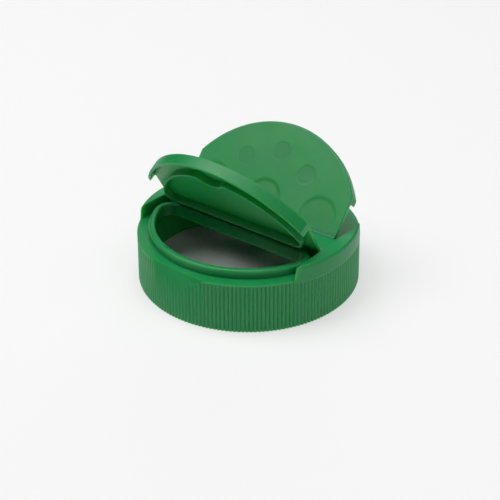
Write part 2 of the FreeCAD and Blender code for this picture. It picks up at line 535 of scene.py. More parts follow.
def add_node(tree: bpy.types.NodeTree, kind: str, settings: dict | None = None,
             inputs: dict | None = None) -> bpy.types.Node:
    """Add a node with its settings, values and links.

    Args:
        tree: Node tree that gets the node.
        kind: Blender's name for the node type.
        settings: Properties of the node.
        inputs: Value or output socket for each input, by name or number.

    Returns:
        The new node.
    """
    node = tree.nodes.new(kind)
    for key, value in (settings or {}).items():
        setattr(node, key, value)
    for key, value in (inputs or {}).items():
        if isinstance(value, bpy.types.NodeSocket):
            tree.links.new(value, node.inputs[key])
        else:
            node.inputs[key].default_value = value
    return node


@dataclass(frozen=True)
class MouldedPolypropylene:
    """Green polypropylene copolymer as it leaves a fine-blasted mould: satin, and slightly translucent."""

    name: str = "moulded_polypropylene"
    # The pigment, and the slightly paler green where the melt ran thin
    pigment: str = "108945"
    pale_pigment: str = "169253"
    # Painted shade: the recesses on the shaker flap are tinted towards this deeper green, more so the deeper they
    # lie
    recess_shade_pigment: str = "118645"
    # Polypropylene's refractive index, and a satin sheen
    ior: float = 1.49
    specular: float = 0.46
    roughness: float = 0.42
    roughness_spread: float = 0.07
    # The blasted grain is about 0.05 mm, too fine to show, so it is drawn at 0.25 mm
    grain_mm: float = 0.25
    grain_depth_mm: float = 0.004
    # Flow of the melt shows as cloudy changes about 9 mm wide
    flow_mm: float = 9.0
    # Light goes a millimetre or so into the natural resin, further in green than in red
    scatter_weight: float = 0.6
    scatter_mm: tuple[float, float, float] = (3.5, 4.5, 0.8)

    def material(self) -> bpy.types.Material:
        """Build the material.

        Returns:
            The finished material.
        """
        finish = bpy.data.materials.new(self.name)
        finish.use_nodes = True
        tree = finish.node_tree
        shader = tree.nodes["Principled BSDF"]
        place = add_node(tree, "ShaderNodeTexCoord").outputs["Object"]
        flow = add_node(tree, "ShaderNodeTexNoise", {}, {
            "Vector": place, "Scale": 1 / (self.flow_mm * MM), "Detail": 3.0, "Roughness": 0.55})
        grain = add_node(tree, "ShaderNodeTexNoise", {}, {
            "Vector": place, "Scale": 1 / (self.grain_mm * MM), "Detail": 2.0, "Roughness": 0.6})
        tint = add_node(tree, "ShaderNodeMix", {"data_type": "RGBA"}, {
            "Factor": flow.outputs["Fac"], 6: srgb(self.pigment), 7: srgb(self.pale_pigment)})
        # Painted shade: the recesses are tinted a deeper green, fully so at the depth set on the flap
        recess_shade = add_node(tree, "ShaderNodeAttribute", {"attribute_name": RECESS_SHADE})
        tint = add_node(tree, "ShaderNodeMix", {"data_type": "RGBA"}, {
            "Factor": recess_shade.outputs["Fac"], 6: tint.outputs[2], 7: srgb(self.recess_shade_pigment)})
        gloss = add_node(tree, "ShaderNodeMapRange", {}, {
            "Value": flow.outputs["Fac"], "From Min": 0.3, "From Max": 0.7,
            "To Min": self.roughness - self.roughness_spread, "To Max": self.roughness + self.roughness_spread})
        bump = add_node(tree, "ShaderNodeBump", {}, {
            "Height": grain.outputs["Fac"], "Strength": 0.35, "Distance": self.grain_depth_mm * MM})
        tree.links.new(tint.outputs[2], shader.inputs["Base Color"])
        tree.links.new(gloss.outputs["Result"], shader.inputs["Roughness"])
        tree.links.new(bump.outputs["Normal"], shader.inputs["Normal"])
        shader.inputs["IOR"].default_value = self.ior
        shader.inputs["Specular IOR Level"].default_value = self.specular
        shader.inputs["Subsurface Weight"].default_value = self.scatter_weight
        shader.inputs["Subsurface Radius"].default_value = self.scatter_mm
        shader.inputs["Subsurface Scale"].default_value = MM
        return finish


@dataclass(frozen=True)
class StudioFloor:
    """Matt white paper sweep that glows with painted fill light beyond the cap's rim, which lightens the cap's cast
    shadow; under the cap it does not glow.
    """

    name: str = "paper_sweep"
    # White paper under the cap, and a greyer paper beyond it, where the painted glow makes up the rest of its
    # brightness
    colour: str = "F8F8F8"
    glowing_paper_colour: str = "B9B9B9"
    fill_glow: float = 0.48
    # The mask ends under the cap's rim, which is 31.5 to 33.2 mm from the middle
    mask_mm: float = 32.3
    roughness: float = 0.9
    fibre_mm: float = 0.8

    def material(self) -> bpy.types.Material:
        """Build the material.

        Returns:
            The finished material.
        """
        finish = bpy.data.materials.new(self.name)
        finish.use_nodes = True
        tree = finish.node_tree
        shader = tree.nodes["Principled BSDF"]
        place = add_node(tree, "ShaderNodeTexCoord").outputs["Object"]
        fibre = add_node(tree, "ShaderNodeTexNoise", {}, {"Vector": place, "Scale": 1 / (self.fibre_mm * MM)})
        bump = add_node(tree, "ShaderNodeBump", {}, {
            "Height": fibre.outputs["Fac"], "Strength": 0.1, "Distance": 0.02 * MM})
        away = add_node(tree, "ShaderNodeVectorMath", {"operation": "LENGTH"}, {0: place})
        # Painted fill light: beyond the cap's rim the floor glows, which lightens the cap's cast shadow
        fill_glow_mask = add_node(tree, "ShaderNodeMath", {"operation": "GREATER_THAN"}, {
            0: away.outputs["Value"], 1: self.mask_mm * MM})
        paper = add_node(tree, "ShaderNodeMix", {"data_type": "RGBA"}, {
            "Factor": fill_glow_mask.outputs[0], 6: srgb(self.colour), 7: srgb(self.glowing_paper_colour)})
        fill_glow = add_node(tree, "ShaderNodeMath", {"operation": "MULTIPLY"}, {0: fill_glow_mask.outputs[0], 1: self.fill_glow})
        tree.links.new(paper.outputs[2], shader.inputs["Base Color"])
        tree.links.new(fill_glow.outputs[0], shader.inputs["Emission Strength"])
        tree.links.new(bump.outputs["Normal"], shader.inputs["Normal"])
        shader.inputs["Emission Color"].default_value = (1.0, 1.0, 1.0, 1.0)
        shader.inputs["Roughness"].default_value = self.roughness
        shader.inputs["Specular IOR Level"].default_value = 0.1
        return finish


def rib_tree() -> bpy.types.NodeTree:
    """Node tree that presses grip ribs into the outer wall of a plain turned skirt.

    Returns:
        The tree, with its sizes as named inputs in metres.
    """
    tree = bpy.data.node_groups.new("grip_ribs", "GeometryNodeTree")
    face = tree.interface
    face.new_socket("Geometry", in_out="INPUT", socket_type="NodeSocketGeometry")
    for name in ("Rib count", "Depth", "Crest share", "High", "Run-out", "Wall radius"):
        face.new_socket(name, in_out="INPUT", socket_type="NodeSocketFloat")
    face.new_socket("Material", in_out="INPUT", socket_type="NodeSocketMaterial")
    face.new_socket("Geometry", in_out="OUTPUT", socket_type="NodeSocketGeometry")
    given = tree.nodes.new("NodeGroupInput").outputs

    def maths(operation: str, *values: float | bpy.types.NodeSocket) -> bpy.types.NodeSocket:
        """Result of one step of arithmetic."""
        step = add_node(tree, "ShaderNodeMath", {"operation": operation}, dict(enumerate(values)))
        return step.outputs[0]

    def ramp(value: bpy.types.NodeSocket, start: float | bpy.types.NodeSocket,
             end: float | bpy.types.NodeSocket) -> bpy.types.NodeSocket:
        """Smooth change from 0 at the start to 1 at the end."""
        step = add_node(tree, "ShaderNodeMapRange", {"interpolation_type": "SMOOTHSTEP"},
                        {"Value": value, "From Min": start, "From Max": end})
        return step.outputs["Result"]

    place = add_node(tree, "GeometryNodeInputPosition").outputs[0]
    split = add_node(tree, "ShaderNodeSeparateXYZ", {}, {0: place}).outputs
    radius = maths("SQRT", maths("ADD", maths("MULTIPLY", split["X"], split["X"]),
                                 maths("MULTIPLY", split["Y"], split["Y"])))
    turns = maths("DIVIDE", maths("ARCTAN2", split["Y"], split["X"]), 2 * math.pi)
    phase = maths("MULTIPLY", turns, given["Rib count"])
    offset = maths("ABSOLUTE", maths("SUBTRACT", maths("FRACT", maths("ADD", phase, 0.5)), 0.5))
    valley = ramp(offset, maths("MULTIPLY", given["Crest share"], 0.5), 0.5)
    below = ramp(split["Z"], given["High"], maths("SUBTRACT", given["High"], given["Run-out"]))
    pressed = maths("MULTIPLY", maths("MULTIPLY", below, valley), given["Depth"])
    share = maths("DIVIDE", maths("SUBTRACT", radius, pressed), radius)
    moved = add_node(tree, "ShaderNodeCombineXYZ", {}, {
        "X": maths("MULTIPLY", split["X"], share), "Y": maths("MULTIPLY", split["Y"], share), "Z": split["Z"]})
    wall = maths("GREATER_THAN", radius, given["Wall radius"])
    pressed_wall = add_node(tree, "GeometryNodeSetPosition", {}, {
        "Geometry": given["Geometry"], "Selection": wall, "Position": moved.outputs[0]})
    realized = add_node(tree, "GeometryNodeRealizeInstances", {}, {"Geometry": pressed_wall.outputs[0]})
    dressed = add_node(tree, "GeometryNodeSetMaterial", {}, {
        "Geometry": realized.outputs[0], "Material": given["Material"]})
    add_node(tree, "NodeGroupOutput", {}, {"Geometry": dressed.outputs[0]})
    return tree


def thread_tree() -> bpy.types.NodeTree:
    """Node tree that winds a ridge into a helix whose ends run out.

    Returns:
        The tree, with its sizes as named inputs in metres.
    """
    tree = bpy.data.node_groups.new("jar_thread", "GeometryNodeTree")
    face = tree.interface
    for name in ("Radius", "Pitch", "Turns", "Start angle", "Start height", "Ridge height", "Root width",
                 "Crest width", "Sunk", "Run-out"):
        face.new_socket(name, in_out="INPUT", socket_type="NodeSocketFloat")
    for name in ("Steps along", "Steps round"):
        face.new_socket(name, in_out="INPUT", socket_type="NodeSocketInt")
    face.new_socket("Material", in_out="INPUT", socket_type="NodeSocketMaterial")
    face.new_socket("Geometry", in_out="OUTPUT", socket_type="NodeSocketGeometry")
    given = tree.nodes.new("NodeGroupInput").outputs

    def maths(operation: str, *values: float | bpy.types.NodeSocket) -> bpy.types.NodeSocket:
        """Result of one step of arithmetic."""
        step = add_node(tree, "ShaderNodeMath", {"operation": operation}, dict(enumerate(values)))
        return step.outputs[0]

    def ramp(value: bpy.types.NodeSocket, start: float | bpy.types.NodeSocket,
             end: float | bpy.types.NodeSocket) -> bpy.types.NodeSocket:
        """Smooth change from 0 at the start to 1 at the end."""
        step = add_node(tree, "ShaderNodeMapRange", {"interpolation_type": "SMOOTHSTEP"},
                        {"Value": value, "From Min": start, "From Max": end})
        return step.outputs["Result"]

    sheet = add_node(tree, "GeometryNodeMeshGrid", {}, {
        "Size X": 1.0, "Size Y": 1.0, "Vertices X": given["Steps along"], "Vertices Y": given["Steps round"]})
    place = add_node(tree, "GeometryNodeInputPosition").outputs[0]
    split = add_node(tree, "ShaderNodeSeparateXYZ", {}, {0: place}).outputs
    along = maths("ADD", split["X"], 0.5)
    around = maths("MULTIPLY", split["Y"], -2 * math.pi)
    taper = maths("MULTIPLY", ramp(along, 0.0, given["Run-out"]),
                  ramp(along, 1.0, maths("SUBTRACT", 1.0, given["Run-out"])))
    inward = maths("COSINE", around)
    ridge = maths("MULTIPLY", ramp(inward, -0.1, 0.75), taper)
    reach = maths("SUBTRACT", maths("MULTIPLY", ridge, given["Ridge height"]), given["Sunk"])
    radius = maths("SUBTRACT", given["Radius"], reach)
    width = maths("ADD", given["Crest width"], maths("MULTIPLY", maths("SUBTRACT", 1.0, ridge),
                                                     maths("SUBTRACT", given["Root width"], given["Crest width"])))
    lift = maths("MULTIPLY", maths("MULTIPLY", maths("SINE", around), 0.5), width)
    climb = maths("MULTIPLY", maths("MULTIPLY", along, given["Turns"]), given["Pitch"])
    height = maths("ADD", maths("ADD", given["Start height"], climb), lift)
    wind = maths("MULTIPLY", maths("MULTIPLY", along, given["Turns"]), 2 * math.pi)
    angle = maths("ADD", given["Start angle"], wind)
    moved = add_node(tree, "ShaderNodeCombineXYZ", {}, {
        "X": maths("MULTIPLY", radius, maths("COSINE", angle)),
        "Y": maths("MULTIPLY", radius, maths("SINE", angle)), "Z": height})
    wound = add_node(tree, "GeometryNodeSetPosition", {}, {
        "Geometry": sheet.outputs["Mesh"], "Position": moved.outputs[0]})
    seamless = add_node(tree, "GeometryNodeMergeByDistance", {}, {
        "Geometry": wound.outputs[0], "Distance": 0.001 * MM})
    realized = add_node(tree, "GeometryNodeRealizeInstances", {}, {"Geometry": seamless.outputs[0]})
    dressed = add_node(tree, "GeometryNodeSetMaterial", {}, {
        "Geometry": realized.outputs[0], "Material": given["Material"]})
    add_node(tree, "NodeGroupOutput", {}, {"Geometry": dressed.outputs[0]})
    return tree


def run_tree(piece: bpy.types.Object, tree: bpy.types.NodeTree, values: dict) -> bpy.types.Object:
    """Run a node tree on an object and keep the result as plain mesh.

    Args:
        piece: The object.
        tree: The node tree.
        values: Value of each named input.

    Returns:
        The same object.
    """
    step = piece.modifiers.new(tree.name, "NODES")
    step.node_group = tree
    sockets = {item.name: item.identifier for item in tree.interface.items_tree if item.in_out == "INPUT"}
    for name, value in values.items():
        step[sockets[name]] = value
    return baked(piece)


@dataclass
class CapBase:
    """Skirt, deck, raised ends, bridge and collar as one moulding."""

    sizes: Envelope
    pour: Joint
    shaker: Joint
    moon: HalfMoon
    finish: bpy.types.Material
    bore_radius: float = 31.3
    bore_corner_radius: float = 1.2
    rib_count: int = 184
    rib_depth: float = 0.27
    rib_crest_share: float = 0.3
    rib_top_gap: float = 0.3
    rib_top_step: float = 0.05
    rib_run_out: float = 0.5
    columns_per_rib: int = 10
    rim_round: float = 0.25
    ledge_edge_round: float = 0.2
    end_shoulder_radius: float = 0.8
    end_outer_wall: float = 1.6
    end_inner_wall: float = 1.2
    bridge_drop: float = 0.3
    bridge_wall: float = 1.15
    bridge_round: float = 0.35
    hinge_bevel_angle: float = 35.0
    notch_half_width: float = 9.1
    notch_ledge_depth: float = 1.6
    notch_height: float = 3.85
    collar_outer_round: float = 0.95
    collar_inner_round: float = 0.7
    hole_rim_width: float = 0.9
    hole_rim_height: float = 0.5
    hole_rim_round: float = 0.2
    edge_round: float = 0.25
    past: float = 1.0
    round_steps: int = 6
    columns: int = 360

    def wall_radius(self, height: float) -> float:
        """Radius of the rib crests at a height, which the skirt's draft sets."""
        rib_top = self.sizes.ledge_height - self.rib_top_gap
        return self.sizes.rim_radius - (self.sizes.skirt_draft + self.rib_top_step) * height / rib_top

    def skirt(self) -> bpy.types.Object:
        """Drafted puck with the grip ribs in its wall, still solid inside.

        Returns:
            The solid.
        """
        sizes = self.sizes
        top = sizes.ledge_height
        high = top - self.rib_top_gap
        outline = arc((self.wall_radius(0) - self.rim_round, self.rim_round), self.rim_round, -90, 0, 3)
        for share in range(5):
            height = high - self.rib_run_out * (4 - share) / 4
            outline.append((self.wall_radius(height), height))
        edge = self.ledge_edge_round
        outline += arc((sizes.ledge_radius - edge, top - edge), edge, 0, 90, 4)
        puck = turned("cap_base_moulding", outline, self.rib_count * self.columns_per_rib)
        return run_tree(puck, rib_tree(), {
            "Rib count": float(self.rib_count), "Depth": self.rib_depth * MM,
            "Crest share": self.rib_crest_share, "High": high * MM, "Run-out": self.rib_run_out * MM,
            "Wall radius": (self.bore_radius + 0.5) * MM, "Material": self.finish})

    def raised_end(self, side: int) -> bpy.types.Object:
        """Raised end beside the flaps, with its rounded shoulder.

        Args:
            side: -1 or 1 for the end at -X or +X.

        Returns:
            The solid.
        """
        sizes = self.sizes
        low = sizes.deck_underside + 0.2
        shoulder = self.end_shoulder_radius
        cover = 0.004
        outline = [(sizes.ledge_radius + cover, low), (sizes.ledge_radius + cover, sizes.ledge_height)]
        outline += arc((sizes.end_radius - shoulder, sizes.end_height - shoulder), shoulder, 0, 90,
                       self.round_steps)
        end = turned("raised_end", outline, self.columns)
        wall, far = sizes.end_wall_x, sizes.rim_radius + 1
        edge = self.edge_round
        section = [(far, low - 1), (wall, low - 1)]
        section += arc((wall + edge, sizes.end_height - edge), edge, 180, 90, 4)
        section += [(wall + edge, sizes.end_height + 1), (far, sizes.end_height + 1)]
        limit = bar("end_limit", [(side * x, z) for x, z in section], -far, far, Along.Y)
        return combine(end, [limit], Join.KEEP)

    def end_pocket(self, side: int) -> bpy.types.Object:
        """Hollow under one raised end, between its walls.

        Args:
            side: -1 or 1 for the end at -X or +X.

        Returns:
            The solid to cut away.
        """
        sizes = self.sizes
        low = sizes.deck_underside - 1
        top = sizes.end_height - sizes.deck_thickness
        radius = sizes.end_radius - self.end_outer_wall
        pocket = turned("end_pocket", [(radius, low), (radius, top)], self.columns)
        near, far = sizes.end_wall_x + self.end_inner_wall, sizes.rim_radius + 1
        section = [(side * x, z) for x, z in ((near, low - 1), (far, low - 1), (far, top + 1), (near, top + 1))]
        return combine(pocket, [bar("pocket_limit", section, -far, far, Along.Y)], Join.KEEP)

    def bore(self) -> bpy.types.Object:
        """Room for the jar's neck, with a rounded corner under the deck.

        Returns:
            The solid to cut away.
        """
        corner = self.bore_corner_radius
        flare = self.rim_round
        outline = [(self.bore_radius + flare + self.past, -self.past), (self.bore_radius + flare, 0.0)]
        outline += arc((self.bore_radius + flare, flare), flare, 270, 180, 3)[1:]
        outline += arc((self.bore_radius - corner, self.sizes.deck_underside - corner), corner, 0, 90,
                       self.round_steps)
        return turned("bore", outline, self.columns)

    def bridge(self) -> bpy.types.Object:
        """Raised bar between the hinges, bevelled so that the flaps can fold back.

        Returns:
            The solid.
        """
        sizes = self.sizes
        low = sizes.deck_underside + 0.3
        top = sizes.end_height - self.bridge_drop
        slope = math.tan(math.radians(self.hinge_bevel_angle))
        bevel = (top - self.pour.z) / slope
        near, far = (self.pour.y, self.pour.z), (self.shaker.y, self.shaker.z)
        near_top, far_top = (near[0] + bevel, top), (far[0] - bevel, top)
        section = [(near[0], low), (far[0], low), far]
        section += rounded_corner(far, far_top, near_top, self.bridge_round)
        section += rounded_corner(far_top, near_top, near, self.bridge_round)
        section.append(near)
        reach = sizes.end_wall_x + 0.4
        return bar("bridge", section, -reach, reach)

    def bridge_edge(self) -> tuple[float, float]:
        """Top edge of the bridge's bevel, away from the flap and up from its hinge."""
        rise = self.sizes.end_height - self.bridge_drop - self.pour.z
        return -rise / math.tan(math.radians(self.hinge_bevel_angle)), rise

    def bridge_pocket(self) -> bpy.types.Object:
        """Hollow under the bridge, open to the inside of the cap.

        Returns:
            The solid to cut away.
        """
        sizes = self.sizes
        inset = self.bridge_wall + sizes.hinge_nose_radius
        low = sizes.deck_underside - 1
        top = sizes.end_height - self.bridge_drop - self.bridge_wall
        near, far = self.pour.y + inset, self.shaker.y - inset
        round_top = 0.5
        section = [(near, low), (far, low)]
        section += arc((far - round_top, top - round_top), round_top, 0, 90, 4)
        section += arc((near + round_top, top - round_top), round_top, 90, 180, 4)
        half = sizes.end_wall_x - self.end_inner_wall
        return bar("bridge_pocket", section, -half, half)

    def hinge_groove(self, joint: Joint) -> bpy.types.Object:
        """Round seat for a flap's hinge nose.

        Args:
            joint: The flap's hinge.

        Returns:
            The solid to cut away.
        """
        radius = self.sizes.hinge_nose_radius + self.sizes.hinge_clearance
        section = arc((joint.y, joint.z), radius, 0, 345, 23)
        return bar("hinge_groove", section, -self.sizes.end_wall_x, self.sizes.end_wall_x)

    def notch(self, side: int) -> bpy.types.Object:
        """Sloping flat cut in the skirt where a thumb gets under a flap.

        Args:
            side: -1 or 1 for the notch at -Y or +Y.

        Returns:
            The solid to cut away.
        """
        sizes = self.sizes
        top_y = sizes.ledge_radius - self.notch_ledge_depth
        low_y = sizes.rim_radius - sizes.skirt_draft * (1 - self.notch_height / sizes.ledge_height)
        slope = (low_y - top_y) / self.notch_height
        above = sizes.ledge_height + self.past
        below = sizes.ledge_height - self.notch_height - self.past
        outside = sizes.rim_radius + 2 * self.past
        section = [(top_y - slope * self.past, above), (low_y + slope * self.past, below),
                   (outside, below), (outside, above)]
        return bar("notch", [(side * y, z) for y, z in section], -self.notch_half_width, self.notch_half_width)

    def collar(self) -> bpy.types.Object:
        """Raised plate round the pour opening, with a rounded outer edge.

        Returns:
            The solid.
        """
        sizes = self.sizes
        radius = self.collar_outer_round
        profile = [(sizes.collar_wall, sizes.deck_underside + 0.4)]
        profile += arc((sizes.collar_wall - radius, sizes.collar_top - radius), radius, 0, 90, self.round_steps)
        return stacked("collar", [(self.moon.outline(grow), height) for grow, height in profile])

    def collar_foot(self) -> bpy.types.Object:
        """Filling between the straight side of the collar and the bridge.

        Returns:
            The solid.
        """
        sizes = self.sizes
        half = self.moon.corner()[0]
        low = sizes.deck_underside + 0.5
        high = sizes.collar_top - self.collar_outer_round
        near = self.moon.flat_y + sizes.collar_wall / 2
        far = self.pour.y / 2
        return bar("collar_foot", [(near, low), (far, low), (far, high), (near, high)], -half, half)

    def pour_opening(self) -> bpy.types.Object:
        """D-shaped room through the deck and the collar, flared at its top.

        Returns:
            The solid to cut away.
        """
        sizes = self.sizes
        radius = self.collar_inner_round
        profile = [(0.0, sizes.deck_underside - self.past)]
        profile += arc((radius, sizes.collar_top - radius), radius, 180, 90, self.round_steps)
        profile.append((radius, sizes.end_height + self.past))
        return stacked("pour_opening", [(self.moon.outline(grow), height) for grow, height in profile])

    def hole_rim(self, centre: tuple[float, float]) -> bpy.types.Object:
        """Low raised rim round a shaker hole.

        Args:
            centre: Centre of the hole.

        Returns:
            The solid.
        """
        sizes = self.sizes
        radius = sizes.hole_radius + self.hole_rim_width
        top = sizes.ledge_height + self.hole_rim_height
        edge = self.hole_rim_round
        outline = [(radius, sizes.deck_underside + 0.4)]
        outline += arc((radius - edge, top - edge), edge, 0, 90, 3)
        return turned("hole_rim", outline, 72, centre)

    def shaker_hole(self, centre: tuple[float, float]) -> bpy.types.Object:
        """Room of a shaker hole, flared at its top.

        Args:
            centre: Centre of the hole.

        Returns:
            The solid to cut away.
        """
        sizes = self.sizes
        radius = sizes.hole_radius
        top = sizes.ledge_height + self.hole_rim_height
        edge = self.hole_rim_round
        outline = [(radius, sizes.deck_underside - self.past)]
        outline += arc((radius + edge, top - edge), edge, 180, 90, 3)
        outline.append((radius + edge, top + self.past))
        return turned("shaker_hole", outline, 72, centre)

    def build(self) -> bpy.types.Object:
        """Build the moulding.

        Returns:
            The finished piece.
        """
        sizes = self.sizes
        body = self.skirt()
        added = [self.raised_end(-1), self.raised_end(1), self.bridge(), self.collar(), self.collar_foot()]
        added += [self.hole_rim(centre) for centre in sizes.hole_centres]
        combine(body, added, Join.ADD)
        removed = [self.bore(), self.end_pocket(-1), self.end_pocket(1), self.bridge_pocket()]
        removed += [self.pour_opening(), self.notch(-1), self.notch(1)]
        removed += [self.shaker_hole(centre) for centre in sizes.hole_centres]
        removed += [self.hinge_groove(self.pour), self.hinge_groove(self.shaker)]
        combine(body, removed, Join.CUT)
        return shaded(body)

    def dress(self, piece: bpy.types.Object) -> None:
        """Give the moulding its finish and its place on the base."""
        finished(piece, self.finish)
        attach(piece, "base")
        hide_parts("cap_base")


@dataclass
class JarThread:
    """Moulded ridge inside the skirt that screws onto the jar, six threads to the inch."""

    wall_radius: float
    finish: bpy.types.Material
    pitch: float = 25.4 / 6
    turns: float = 1.3
    start_angle: float = 195.0
    start_height: float = 5.0
    ridge_height: float = 1.0
    root_width: float = 1.9
    crest_width: float = 0.6
    sunk: float = 0.2
    run_out: float = 0.05
    steps_along: int = 150
    steps_round: int = 17

    def build(self) -> bpy.types.Object:
        """Build the thread.

        Returns:
            The finished piece.
        """
        ridge = make_object("jar_thread", [], [])
        run_tree(ridge, thread_tree(), {
            "Radius": self.wall_radius * MM, "Pitch": self.pitch * MM, "Turns": self.turns,
            "Start angle": math.radians(self.start_angle),
            "Start height": self.start_height * MM, "Ridge height": self.ridge_height * MM,
            "Root width": self.root_width * MM, "Crest width": self.crest_width * MM, "Sunk": self.sunk * MM,
            "Run-out": self.run_out, "Steps along": self.steps_along, "Steps round": self.steps_round,
            "Material": self.finish})
        return shaded(ridge)

    def dress(self, piece: bpy.types.Object) -> None:
        """Give the thread its finish and its place on the base."""
        finished(piece, self.finish)
        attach(piece, "base")


@dataclass
class Flap:
    """Half-round lid with a skirt along its arc and the nose of its hinge."""

    sizes: Envelope
    joint: Joint
    side: Side
    open_angle: float
    finish: bpy.types.Material
    edge_radius: float = 0.6
    skirt_gap: float = 0.15
    skirt_draft: float = 0.2
    inner_corner: float = 0.4
    slope_length: float = 0.9
    edge_round: float = 0.25
    slope_round: float = 0.35
    rim_inset: float = 0.03
    past: float = 1.0
    round_steps: int = 6
    columns: int = 360

    def shell(self, name: str) -> bpy.types.Object:
        """Closed flap without what hangs under it.

        Args:
            name: Name of the object.

        Returns:
            The solid.
        """
        sizes = self.sizes
        side = self.side.value
        low = sizes.ledge_height + self.skirt_gap
        lip = 0.15
        edge = self.edge_radius
        foot = sizes.end_radius - self.skirt_draft
        rim = sizes.end_radius - self.rim_inset
        outline = arc((foot - lip, low + lip), lip, -90, 0, 3)
        outline += arc((rim - edge, sizes.flap_top - edge), edge, 0, 90, self.round_steps)
        body = turned(name, outline, self.columns)
        corner = self.inner_corner
        room = [(sizes.flap_inner_radius + self.past, low - self.past), (sizes.flap_inner_radius + lip, low)]
        room += arc((sizes.flap_inner_radius + lip, low + lip), lip, 270, 180, 3)[1:]
        room += arc((sizes.flap_inner_radius - corner, sizes.panel_underside - corner), corner, 0, 90, 4)
        combine(body, [turned("flap_room", room, self.columns)], Join.CUT)
        near, far = self.joint.y, side * (sizes.rim_radius + 1)
        half, top, above = sizes.panel_half_width, sizes.flap_top, sizes.flap_top + self.past
        edge = self.edge_round
        section = [(-half, 0.0), (half, 0.0)] + arc((half - edge, top - edge), edge, 0, 90, 4)
        section += [(half - edge, above), (edge - half, above)]
        section += arc((edge - half, top - edge), edge, 90, 180, 4)
        combine(body, [bar("flap_limit", section, near, far, Along.Y)], Join.KEEP)
        foot, crest = (near, self.joint.z), (near + side * self.slope_length, top)
        bend = rounded_corner(foot, crest, (far, top), self.slope_round)
        behind = near - side * self.past
        section = [foot, *bend, (bend[-1][0], above), (behind, above), (behind, self.joint.z)]
        combine(body, [bar("hinge_slope", section, -sizes.rim_radius, sizes.rim_radius)], Join.CUT)
        nose = bar("hinge_nose", arc((self.joint.y, self.joint.z), sizes.hinge_nose_radius, 0, 345, 23),
                   -sizes.panel_half_width, sizes.panel_half_width)
        return combine(body, [nose], Join.ADD)

    def open(self, piece: bpy.types.Object) -> bpy.types.Object:
        """Turn the closed flap about its hinge to the angle at which it stands open.

        Args:
            piece: The closed flap.

        Returns:
            The same object, with its mesh turned.
        """
        axis = Vector((0.0, self.joint.y, self.joint.z)) * MM
        turn = Matrix.Rotation(math.radians(self.side.value * self.open_angle), 4, ACROSS)
        piece.data.transform(Matrix.Translation(axis) @ turn @ Matrix.Translation(-axis))
        return piece

    def dress(self, piece: bpy.types.Object, node: str) -> None:
        """Give the flap its finish and its place on its body.

        Args:
            piece: The flap.
            node: The solid that it stands for.
        """
        finished(piece, self.finish)
        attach(piece, self.joint.child)
        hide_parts(node)


@dataclass
class HingeWeb:
    """Thin film of plastic that joins a flap to the bridge over the groove of its hinge."""

    sizes: Envelope
    joint: Joint
    side: Side
    flap_angle: float
    finish: bpy.types.Material
    bridge_point: tuple[float, float]
    flap_point: tuple[float, float]
    thickness: float = 0.22
    sag: float = 0.21
    lap: float = 0.05
    rows: int = 16

    def polar(self, point: tuple[float, float], turn: float) -> tuple[float, float]:
        """Angle and distance from the hinge of a point, away from the flap's side and up.

        Args:
            point: Distance from the hinge towards the flap, and height above it.
            turn: Angle in degrees by which the point is turned with the open flap.

        Returns:
            Angle in degrees above the flap's side, and distance in millimetres.
        """
        return math.degrees(math.atan2(point[1], point[0])) + turn, math.hypot(point[0], point[1])

    def place(self, angle: float, distance: float) -> tuple[float, float]:
        """Y and height of a point at an angle and distance from the hinge."""
        turn = math.radians(angle)
        return (self.joint.y + self.side.value * distance * math.cos(turn), self.joint.z + distance * math.sin(turn))

    def build(self, name: str) -> bpy.types.Object:
        """Build the film with the flap open.

        Args:
            name: Name of the object.

        Returns:
            The finished piece.
        """
        start, start_distance = self.polar(self.bridge_point, 0.0)
        end, end_distance = self.polar(self.flap_point, self.flap_angle)
        outer, inner = [], []
        for row in range(self.rows + 1):
            share = row / self.rows
            angle = start + (end - start) * share
            distance = start_distance + (end_distance - start_distance) * share
            distance -= self.sag * math.sin(math.pi * share) - self.lap * abs(2 * share - 1) ** 6
            outer.append(self.place(angle, distance))
            inner.append(self.place(angle, distance - self.thickness))
        half = self.sizes.panel_half_width - self.thickness
        return shaded(bar(name, outer + inner[::-1], -half, half))

    def dress(self, piece: bpy.types.Object) -> None:
        """Give the film its finish and bake its place into its mesh."""
        finished(piece, self.finish)
        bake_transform(piece)


@dataclass
class PourFlap(Flap):
    """Lid of the pour opening, with a thin dented plug ring."""

    moon: HalfMoon | None = None
    plug_clearance: float = 0.25
    plug_wall: float = 0.8
    plug_length: float = 2.3
    plug_round: float = 0.25
    dent_depth: float = 2.6
    dent_half_width: float = 4.8
    dent_corner_radius: float = 1.9

    def plug_outline(self, shrink: float) -> Outline:
        """Outline of the plug, shrunk from its outer face."""
        return self.moon.dented_outline(-shrink, self.plug_clearance, self.dent_depth, self.dent_half_width,
                                        self.dent_corner_radius + self.plug_wall)

    def build(self) -> bpy.types.Object:
        """Build the flap.

        Returns:
            The finished piece.
        """
        body = self.shell("pour_flap_moulding")
        top = self.sizes.panel_underside
        low = top - self.plug_length
        edge = self.plug_round
        profile = arc((edge, low + edge), edge, 270, 180, 3)
        profile.append((0.0, top + self.sizes.panel_thickness / 2))
        ring = stacked("plug_ring", [(self.plug_outline(shrink), height) for shrink, height in profile])
        wall = self.plug_wall
        profile = [(wall - edge, low - self.past), (wall - edge, low)]
        profile += arc((wall - edge, low + edge), edge, -90, 0, 3)[1:]
        profile.append((wall, top))
        room = stacked("plug_room", [(self.plug_outline(shrink), height) for shrink, height in profile])
        combine(ring, [room], Join.CUT)
        combine(body, [ring], Join.ADD)
        return self.open(shaded(body))


